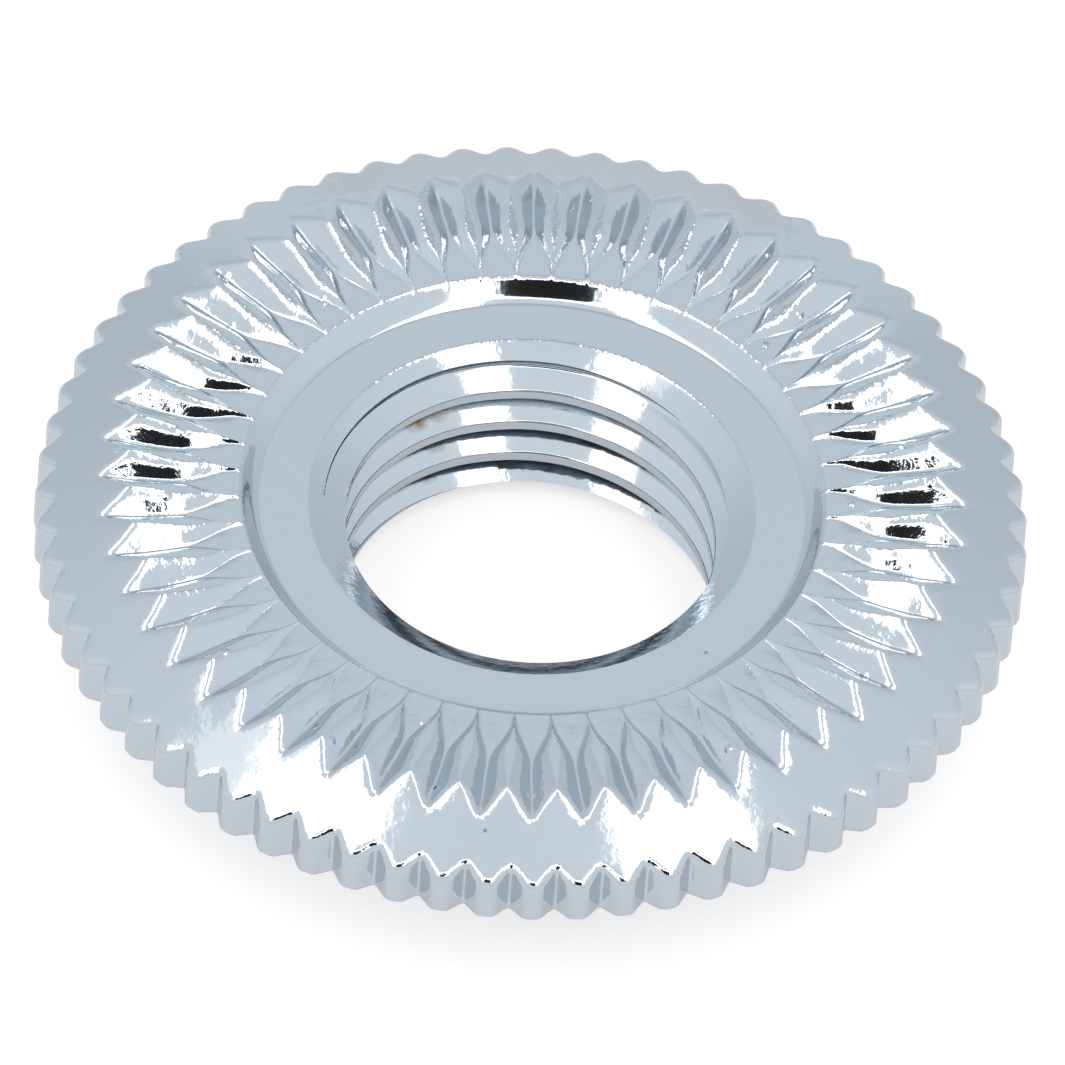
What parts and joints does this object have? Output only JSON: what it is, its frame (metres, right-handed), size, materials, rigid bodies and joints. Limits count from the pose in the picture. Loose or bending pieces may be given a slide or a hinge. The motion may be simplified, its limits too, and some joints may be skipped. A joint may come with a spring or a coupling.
{
  "type": "hub lock nut",
  "caption": "Round flanged lock nut with radial serrations on its face, a knurled rim, a recessed threaded bore and a hexagonal boss.",
  "frame": {"origin": "centre of the boss's flat bottom face, on the bore's axis", "axes": "+Z along the bore, from the boss towards the serrated face; +X through a corner of the hexagonal boss"},
  "size_m": [0.0214, 0.0214, 0.005],
  "materials": {
    "chrome": "bright chrome plate on steel, mirror-smooth with fine pits"
  },
  "bodies": {
    "root": {"lock_nut": "chrome"}
  },
  "joints": []
}
